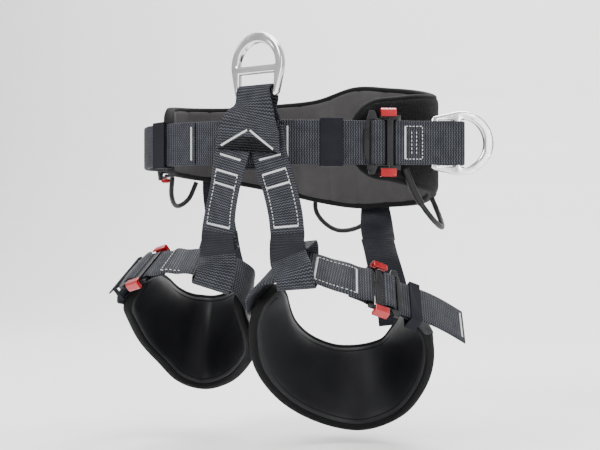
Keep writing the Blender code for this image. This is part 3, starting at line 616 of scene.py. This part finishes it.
def joined_strap(name, parts, bodies, start, end, look="webbing", **shape):
    """One strap over several nodes, not attached to any body; bodies is not used."""
    rows = []
    for node, place in parts:
        more = strip_rows(node, place)
        if rows:
            flip_side = -1 if more[0][0] @ rows[-1][0] < 0 else 1
            flip_out = -1 if more[0][1] @ rows[-1][1] < 0 else 1
            more = [(side * flip_side, out * flip_out, centre) for side, out, centre in more]
        rows += more
    strap = Strap(rows)
    obj = web_mesh(name, strap, MATERIALS[look], **shape)
    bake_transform(obj)
    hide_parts(*(node for node, _ in parts))
    return strap


def seams_on(name, strap, body, seams, look_from=EYE):
    """Seams of ((s, a), (s, a), kind) on the face that is seen, riding on a body."""
    thread = Thread()
    for start, end, kind in seams:
        face = strap.facing((start[0] + end[0]) / 2, look_from)
        thread.line(strap, start, end, face, kind)
    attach(thread.finish(name), body)


def cross_seam(s, half, kind):
    return (s, -half), (s, half), kind


def rectangle_seams(low, high, half, kinds):
    """Seams across at low and high, and along both edges; kinds are near, far and edges."""
    near, far, edges = kinds
    return [cross_seam(low, half, near), cross_seam(high, half, far),
            *(((low, side), (high, side), edges) for side in (-half, half))]


def make_waist_straps():
    simple_strap("back_webbing", (-116, 93, 0), "saddle")
    side = simple_strap("side_strap_l", (163, -50, 0), "saddle")
    top = side.nearest((146, -58.5, 0))
    seams_on("side_seams_l", side, "saddle",
             rectangle_seams(top - 1, top + 17, 16.5, ("tack", "run", "run"))
             + [cross_seam(top + 6, 12, "run"), cross_seam(top + 11, 12, "run")],
             (400, -600, 0))
    side = simple_strap("side_strap_r", (-161, 56, 0), "saddle")
    top = side.nearest((-159.5, 40, 0))
    seams_on("side_seams_r", side, "saddle",
             rectangle_seams(top - 1, top + 17, 16.5, ("tack", "run", "run")), (-900, 0, 0))
    front = simple_strap("front_webbing", (117, -74, 0), "saddle")
    seams_on("front_seams", front, "saddle", [cross_seam(front.nearest((-87, -107, 0)), 17, "tack")])
    tail = simple_strap("waist_tail_l", (121, -72, 0), "tongue_waist_l")
    seams_on("waist_tail_seam_l", tail, "tongue_waist_l", [cross_seam(tail.length - 5, 16, "tack")])
    parts = [("waist_fold_r", (-158, 13, 2)), ("waist_tail_r", (-160, -25, 0))]
    tail = joined_strap("waist_tail_r_web", parts, ("tongue_waist_r", "saddle"),
                        (-160, -8, 0), (-152, -50, 0))
    seams_on("waist_tail_seam_r", tail, "saddle", [cross_seam(tail.length - 3.5, 17, "tack")])


def wrap_hem(x):
    """The wrap's lower edge rises to a point in the middle."""
    return 12.0 - 19.0 * (1 - abs(x))


def make_front():
    wrap = simple_strap("front_ring_wrap", (8, -109, -27), "saddle", hem=wrap_hem)
    end = wrap.length
    apex = end + wrap_hem(0) - 2.5
    corner = end + wrap_hem(1) - 4.5
    seams_on("wrap_seams", wrap, "saddle",
             [((apex, -1.5), (corner, -28), "tack"), ((apex, 1.5), (corner, 28), "tack")])
    for tag, top, low, seams in (("l", (21, -125, 16), (41, -117, -96), (45, 59, 101)),
                                 ("r", (-8, -128, 16), (-33, -119, -91), (46, 59, 101))):
        upper, second, bottom = seams
        x, y, z = low
        parts = [(f"front_strap_{tag}", top), (f"strap_loop_{tag}", (x, y + 1.5, z - 2.6))]
        strap = joined_strap(f"front_strap_{tag}_web", parts, ("saddle", f"leg_loop_{tag}"),
                             (x, y, z + 12), (x, y, z - 8), sleeve=(bottom + 6, bottom + 32))
        lines = [cross_seam(30, 12, "tack"), cross_seam(upper, 13.5, "tack")]
        lines += rectangle_seams(second, bottom, 13.5, ("tack", "tack", "run"))
        lines += [((upper, side), (second, side), "run") for side in (-13.5, 13.5)]
        seams_on(f"front_seams_{tag}", strap, "saddle", lines)


def make_leg_straps():
    seams = {"l": rectangle_seams(50, 93, 16.5, ("tack", "tack", "run")),
             "r": [cross_seam(52, 18, "run"), ((52, -18), (72, -18), "run")]}
    frame_ends = {"l": (97, -97, -141), "r": (-80, -120, -131)}
    crotch_ends = {"l": (12, -75, -172), "r": (-31, -60, -160)}
    bar_ends = {"l": (131, -69, -152), "r": (-123, -114, -131)}
    tail_seams = {"l": (16, "tack"), "r": (12, "run")}
    for tag in "lr":
        leg = f"leg_loop_{tag}"
        strap = simple_strap(f"leg_front_strap_{tag}", frame_ends[tag], leg)
        seams_on(f"leg_front_seams_{tag}", strap, leg, seams[tag])
        simple_strap(f"leg_webbing_{tag}", crotch_ends[tag], leg, "webbing_smooth")
        tail = simple_strap(f"leg_tail_{tag}", bar_ends[tag], f"tongue_leg_{tag}")
        seams_on(f"leg_tail_seam_{tag}", tail, f"tongue_leg_{tag}",
                 [cross_seam(tail.length - 4.5, *tail_seams[tag])])
    # Each riser's top, its lower length's top, and where its bend starts and ends
    risers = {"l": ((58, 129, -26), (71, 99, -99), (59, 129, -62), (84, 76, -123)),
              "r": ((-127, 90, -25), (-110, 67, -88), (-125, 88, -52), (-103, 58, -107))}
    for tag, (top, low, start, end) in risers.items():
        joined_strap(f"riser_{tag}_web", [(f"riser_upper_{tag}", top), (f"riser_lower_{tag}", low)],
                     ("saddle", f"leg_loop_{tag}"), start, end, "webbing_smooth")


# ---------------------------------------------------------------- pads

def pad_surface(u):
    """Waist pad at u from 0 to 1: middle, half-height vector and outward direction, as arrays."""
    rows = np.array([(x, y, (low + high) / 2, (high - low) / 2) for x, y, low, high in PAD_STATIONS])
    steps = np.linalg.norm(np.diff(rows[:, :2], axis=0), axis=1)
    places = np.concatenate([[0.0], np.cumsum(steps)])
    s = u * places[-1]
    at = hermite(places, rows, s)
    ahead = hermite(places, rows, s + 0.5)
    along = unit((ahead - at)[:, :2])
    out = np.stack([-along[:, 1], along[:, 0], np.zeros(len(u))], axis=1)
    tip = np.clip(np.minimum(s, places[-1] - s) / 30.0, 0, 1)
    shape = np.sqrt(1 - (1 - tip) ** 2 * 0.86)
    half = np.zeros((len(u), 3))
    half[:, 2] = at[:, 3] * shape
    return at[:, :3], half, out, places[-1]


def leg_surface(tag):
    """A leg cradle's surface function, like pad_surface."""
    stations = LEG_STATIONS[tag]
    rows = np.array([(*middle, *half) for middle, half in stations], float)
    first, last = LEG_ENDS[tag]
    numbers = np.arange(len(stations), dtype=float)

    def surface(u):
        at = first + (last - first) * u
        row = hermite(numbers, rows, at)
        ahead = hermite(numbers, rows, at + 0.02)
        along = unit((ahead - row)[:, :3])
        half = row[:, 3:]
        reach = np.linalg.norm(half, axis=1)
        side = unit(half - along * (half * along).sum(1)[:, None])
        out = np.cross(along, side) * LEG_TURN[tag]
        tip = np.clip(np.minimum(u, 1 - u) / 0.07, 0, 1)
        reach = reach * np.sqrt(1 - (1 - tip) ** 2 * 0.7)
        return row[:, :3], side * reach[:, None], out, 420.0

    return surface


def pad_points(surface, u, v, offset):
    """Places on a pad: u along, v from -1 to 1 across, offset along its outward direction."""
    middle, half, out, _ = surface(u)
    return middle + half * v[:, None] + out * np.asarray(offset)[:, None]


def shell(name, surface, low, high, mat, across=40, step=3.0, inset=0.0):
    """Closed soft body between two offset functions of (u, v); its rim is drawn together."""
    length = surface(np.array([0.5]))[3]
    along = int(length / step)
    u = np.repeat(np.linspace(0, 1, along + 1), across + 1)
    v = np.tile(np.linspace(-1, 1, across + 1), along + 1)
    _, half, _, _ = surface(u)
    reach = 1 - inset / np.linalg.norm(half, axis=1)
    u_in = inset / length + u * (1 - 2 * inset / length)
    top = pad_points(surface, u_in, v * reach, high(u, v))
    bottom = pad_points(surface, u_in, v * reach, low(u, v))
    wide = across + 1
    total = len(u)
    faces = []
    for i in range(along):
        for j in range(across):
            a = i * wide + j
            faces.append((a, a + 1, a + 1 + wide, a + wide))
            faces.append((total + a, total + a + wide, total + a + 1 + wide, total + a + 1))
    rim = ([(i, 0) for i in range(along)] + [(along, j) for j in range(across)]
           + [(i, across) for i in range(along, 0, -1)] + [(0, j) for j in range(across, 0, -1)])
    for k, (i, j) in enumerate(rim):
        p, q = rim[(k + 1) % len(rim)]
        faces.append((i * wide + j, p * wide + q, total + p * wide + q, total + i * wide + j))
    obj = mesh_object(name, np.vstack([top, bottom]) * MM, faces, [mat], 60)
    fix_normals(obj)
    return obj


def crown(u, v, edge_u=0.02, edge_v=0.16):
    """1 on a pad's field, falling to 0 in a round at its rim."""
    near_u = np.clip(np.minimum(u, 1 - u) / edge_u, 0, 1)
    near_v = np.clip((1 - np.abs(v)) / edge_v, 0, 1)
    return np.sqrt(1 - (1 - near_u) ** 2) * np.sqrt(1 - (1 - near_v) ** 2)


def crowned(edge, full, *rim):
    """Offset function that goes from edge at a pad's rim to full on its field."""
    return lambda u, v: edge + (full - edge) * crown(u, v, *rim)


def border(surface, inset, step=4.0):
    """Closed line round a pad, inset from its edge: places and outward directions."""
    length = surface(np.array([0.5]))[3]
    along = np.linspace(0, 1, int(length / step))
    ends = np.linspace(-1, 1, 14)[1:-1]
    u = np.concatenate([along, np.ones(len(ends)), along[::-1], np.zeros(len(ends))])
    v = np.concatenate([-np.ones(len(along)), ends, np.ones(len(along)), -ends])
    _, half, out, _ = surface(u)
    reach = 1 - inset / np.linalg.norm(half, axis=1)
    u = inset / length + u * (1 - 2 * inset / length)
    middle, half, out, _ = surface(u)
    return middle + half * (v * reach)[:, None], out


def rounded_corners(points, outs, rounds=3):
    for _ in range(rounds):
        points = (np.roll(points, 1, axis=0) + 2 * points + np.roll(points, -1, axis=0)) / 4
        outs = unit(np.roll(outs, 1, axis=0) + 2 * outs + np.roll(outs, -1, axis=0))
    return points, outs


def rim_tape(name, surface, inset, half_thick, half_wide, mat, offset=0.0, sides=14, square=0.75):
    """Tape or piping round a pad's border: a closed sweep of a rounded flat section."""
    points, outs = rounded_corners(*border(surface, inset))
    points = points + outs * offset
    along = unit(np.roll(points, -1, axis=0) - np.roll(points, 1, axis=0))
    edge = np.cross(along, outs)
    angles = 2 * math.pi * np.arange(sides) / sides
    cosine = np.sign(np.cos(angles)) * np.abs(np.cos(angles)) ** square * half_wide
    sine = np.sign(np.sin(angles)) * np.abs(np.sin(angles)) ** square * half_thick
    verts = (points[:, None, :] + edge[:, None, :] * cosine[None, :, None]
             + outs[:, None, :] * sine[None, :, None])
    faces = ring_faces(len(points), sides, closed=True)
    obj = mesh_object(name, verts.reshape(-1, 3) * MM, faces, [mat], 60)
    fix_normals(obj)
    return obj


def put(obj, body, slot, *nodes):
    """Rides a piece on a body, in place of nodes; slot is not used."""
    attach(obj, body)
    if nodes:
        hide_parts(*nodes)
    return obj


def channelled(u, v):
    """The lining's inner face: soft upright channels between sewn grooves."""
    channel = np.abs(np.sin(math.pi * u * LINING_CHANNELS)) ** 0.3
    return -3.6 - 3.1 * crown(u, v) * (0.35 + 0.65 * channel)


def make_waist_pad():
    foam = shell("waist_foam", pad_surface, crowned(-1.0, -5.0), crowned(1.0, 5.0),
                 MATERIALS["foam"], inset=1.0)
    put(foam, "saddle", "foam", "waist_pad_foam")
    lining = shell("waist_lining", pad_surface, channelled, crowned(-3.2, -5.2),
                   MATERIALS["lining"], 44, 1.6, inset=2.0)
    put(lining, "saddle", "pad_lining", "waist_pad_lining")
    cover = shell("waist_cover", pad_surface, crowned(3.2, 5.2), crowned(3.6, 6.7),
                  MATERIALS["mesh"], inset=2.0)
    put(cover, "saddle", "mesh", "waist_mesh_cover")
    tape = rim_tape("waist_binding", pad_surface, 2.6, 5.2, 4.0, MATERIALS["binding"])
    put(tape, "saddle", "mesh")


def make_leg_pads():
    for tag in "lr":
        surface = leg_surface(tag)
        body = f"leg_loop_{tag}"
        pad = shell(f"leg_cradle_{tag}", surface, crowned(-1.2, -4.5, 0.03), crowned(1.2, 4.5, 0.03),
                    MATERIALS["leg"], inset=1.0)
        put(pad, body, "leg_pad", f"leg_pad_{tag}")
        lining = shell(f"leg_lining_{tag}", surface, crowned(-3.4, -6.8, 0.04, 0.3),
                       crowned(-3.0, -4.8, 0.04, 0.3), MATERIALS["leg"], inset=2.0)
        put(lining, body, "leg_lining", f"leg_pad_lining_{tag}")
        tape = rim_tape(f"leg_binding_{tag}", surface, 2.4, 4.9, 3.6, MATERIALS["binding"])
        put(tape, body, "leg_pad")
        piping = rim_tape(f"leg_piping_{tag}", surface, 8.5, 0.9, 0.9, MATERIALS["binding"],
                          offset=-5.6, sides=8, square=1.0)
        put(piping, body, "leg_pad")


# ---------------------------------------------------------------- rings

def ring_matrix(origin, bar_axis, up):
    x = Vector(bar_axis).normalized()
    y = Vector(up)
    y = (y - x * y.dot(x)).normalized()
    matrix = Matrix((x, y, x.cross(y))).transposed().to_4x4()
    matrix.translation = Vector(origin) * MM
    return matrix


def arc_points(centre, radius_x, radius_y, start, end, pieces):
    return [(radius_x * math.cos(math.radians(start + (end - start) * i / pieces)),
             centre + radius_y * math.sin(math.radians(start + (end - start) * i / pieces)))
            for i in range(pieces + 1)]


def ring_outlines():
    """Outline, webbing slot and eye of a forged D-ring, in its own plane."""
    outer = [(-RING_BAR_HALF + 2, -RING_BAR_RADIUS), (RING_BAR_HALF - 2, -RING_BAR_RADIUS),
             (RING_BAR_HALF + 0.5, -1.5)]
    outer += arc_points(RING_ARC_CENTRE, RING_WIDTH_HALF, RING_WIDTH_HALF, -8, 188, 56)
    outer.append((-RING_BAR_HALF - 0.5, -1.5))
    low, high = RING_BAR_RADIUS, RING_CROSSBAR - RING_BAR_RADIUS
    slot = [(-22.8, low), (22.8, low), (22.8, high), (-22.8, high)]
    eye = arc_points(RING_ARC_CENTRE, 24.0, 22.5, 0, 180, 40)
    eye += [(-23.0, RING_CROSSBAR + RING_BAR_RADIUS), (23.0, RING_CROSSBAR + RING_BAR_RADIUS)]
    return outer, slot, eye


def ring_mesh(name):
    """The ring's solid with round edges, as a mesh."""
    curve = bpy.data.curves.new(name, "CURVE")
    curve.dimensions = "2D"
    curve.fill_mode = "BOTH"
    curve.extrude = (RING_THICK / 2 - RING_ROUND) * MM
    curve.bevel_depth = RING_ROUND * MM
    curve.bevel_resolution = 4
    curve.offset = -RING_ROUND * MM
    for outline in ring_outlines():
        spline = curve.splines.new("POLY")
        spline.points.add(len(outline) - 1)
        for item, (x, y) in zip(spline.points, outline):
            item.co = (x * MM, y * MM, 0, 1)
        spline.use_cyclic_u = True
    source = bpy.data.objects.new(name + "_curve", curve)
    bpy.context.scene.collection.objects.link(source)
    bpy.context.view_layer.update()
    mesh = bpy.data.meshes.new_from_object(source.evaluated_get(bpy.context.evaluated_depsgraph_get()))
    bpy.data.objects.remove(source)
    bm = bmesh.new()
    bm.from_mesh(mesh)
    bmesh.ops.remove_doubles(bm, verts=bm.verts, dist=0.01 * MM)
    bmesh.ops.recalc_face_normals(bm, faces=bm.faces)
    bm.to_mesh(mesh)
    bm.free()
    return mesh


PANELS = ((28, 62), (70, 110), (118, 152))
PANEL_RADIUS = 28.9
PANEL_HALF = 2.1
PANEL_DEPTH = 0.45


def panel_cutters():
    """Blank recessed panels along the ring's rim, on both faces."""
    verts, faces = [], []
    for face in (-1, 1):
        for start, end in PANELS:
            outline = []
            for i in range(13):
                angle = math.radians(start + (end - start) * i / 12)
                outline.append((angle, PANEL_RADIUS + PANEL_HALF))
            outline += [(math.radians(end + 4), PANEL_RADIUS)]
            for i in range(13):
                angle = math.radians(end + (start - end) * i / 12)
                outline.append((angle, PANEL_RADIUS - PANEL_HALF))
            outline += [(math.radians(start - 4), PANEL_RADIUS)]
            base = len(verts)
            count = len(outline)
            for z in (RING_THICK / 2 - PANEL_DEPTH, RING_THICK / 2 + 2):
                verts += [(r * math.cos(a) * MM, (RING_ARC_CENTRE + r * math.sin(a)) * MM, z * face * MM)
                          for a, r in outline]
            faces.append(tuple(base + k for k in range(count)))
            faces.append(tuple(base + count + k for k in reversed(range(count))))
            faces += [(base + k, base + (k + 1) % count, base + count + (k + 1) % count, base + count + k)
                      for k in range(count)]
    return verts, faces


def make_ring(name, matrix, body, node):
    mesh = ring_mesh(name)
    mesh.materials.append(MATERIALS["aluminium"])
    ring = bpy.data.objects.new(name, mesh)
    bpy.context.scene.collection.objects.link(ring)
    cutter = mesh_object(name + "_cutter", *panel_cutters(), [MATERIALS["aluminium"]])
    fix_normals(cutter)
    cut = ring.modifiers.new("panels", "BOOLEAN")
    cut.operation = "DIFFERENCE"
    cut.solver = "EXACT"
    cut.object = cutter
    bpy.context.view_layer.update()
    carved = bpy.data.meshes.new_from_object(ring.evaluated_get(bpy.context.evaluated_depsgraph_get()))
    ring.modifiers.clear()
    bpy.data.objects.remove(cutter)
    carved.transform(matrix)
    carved.shade_smooth()
    carved.set_sharp_from_angle(angle=math.radians(35))
    ring.data = carved
    put(ring, body, "ring_aluminium", node)


def make_rings():
    make_ring("front_ring", ring_matrix(*FRONT_RING), "front_ring", "front_d_ring")
    for joint in frame["joints"]:
        if joint["name"].startswith("side_ring"):
            tag = joint["child"][-1]
            heading = SIDE_HEADING[tag]
            along = Vector((math.cos(heading), math.sin(heading), 0))
            crossbar = Vector(joint["pos_m"]) / MM
            up = Vector((0, 0, 1 if tag == "l" else -1))
            matrix = ring_matrix(crossbar - along * RING_CROSSBAR, up, along)
            make_ring(f"side_ring_{tag}_forged", matrix, joint["child"], f"side_d_ring_{tag}")


# ---------------------------------------------------------------- loops and hardware

def make_gear_loops():
    for tag, route in GEAR_LOOPS.items():
        points = np.array(route, float)
        steps = np.linalg.norm(np.diff(points, axis=0), axis=1)
        places = np.concatenate([[0.0], np.cumsum(steps)])
        s = np.linspace(0, places[-1], int(places[-1] / 2.0))
        line = hermite(places, points, s)
        share = s / places[-1]
        sleeve = np.where((share < 0.30) & (tag == "l"), 1.35, 1.0)
        girth = GEAR_RADIUS * sleeve * (1 + 0.03 * np.sin(share * 90))
        obj = tube_mesh(f"gear_loop_{tag}_sleeve", line, girth, MATERIALS["sleeve"])
        put(obj, f"gear_loop_{tag}_body", "tube_black", f"gear_loop_{tag}")


def tube_mesh(name, line, girth, mat, sides=14):
    along = unit(np.gradient(line, axis=0))
    up = np.array([0.1, 0.2, 1.0])
    across = unit(np.cross(along, up))
    top = np.cross(across, along)
    angles = 2 * math.pi * np.arange(sides) / sides
    spokes = (across[:, None, :] * np.cos(angles)[None, :, None]
              + top[:, None, :] * np.sin(angles)[None, :, None])
    rings = line[:, None, :] + girth[:, None, None] * spokes
    count = len(line)
    faces = ring_faces(count, sides)
    faces += [tuple(reversed(range(sides))), tuple((count - 1) * sides + k for k in range(sides))]
    obj = mesh_object(name, rings.reshape(-1, 3) * MM, faces, [mat], 50)
    fix_normals(obj)
    return obj


def finish_hardware():
    """The frame's own buckles, tabs, springs and keepers, with round edges and real finishes."""
    looks = (("buckle_", "black", 0.55, "buckle_black"), ("release_tab", "red", 0.9, "tab_red"),
             ("latch_spring", "steel", 0.0, "spring_steel"), ("waist_keeper", "elastic", 0.5, "elastic"),
             ("leg_keeper", "elastic", 0.5, "elastic"))
    for name, obj in NODES.items():
        for start, look, width, slot in looks:
            if name.startswith(start):
                obj.data.materials.clear()
                obj.data.materials.append(MATERIALS[look])
                if width:
                    round_edges(obj, width)


def round_edges(obj, width):
    weld = obj.modifiers.new("weld", "WELD")
    weld.merge_threshold = 0.00002
    bevel = obj.modifiers.new("edges", "BEVEL")
    bevel.width = width * MM
    bevel.segments = 3
    bevel.limit_method = "ANGLE"
    bevel.angle_limit = math.radians(35)
    bevel.harden_normals = True


make_camera()
MATERIALS = make_materials()
make_studio()
make_waist_straps()
make_front()
make_leg_straps()
make_waist_pad()
make_leg_pads()
make_rings()
make_gear_loops()
finish_hardware()
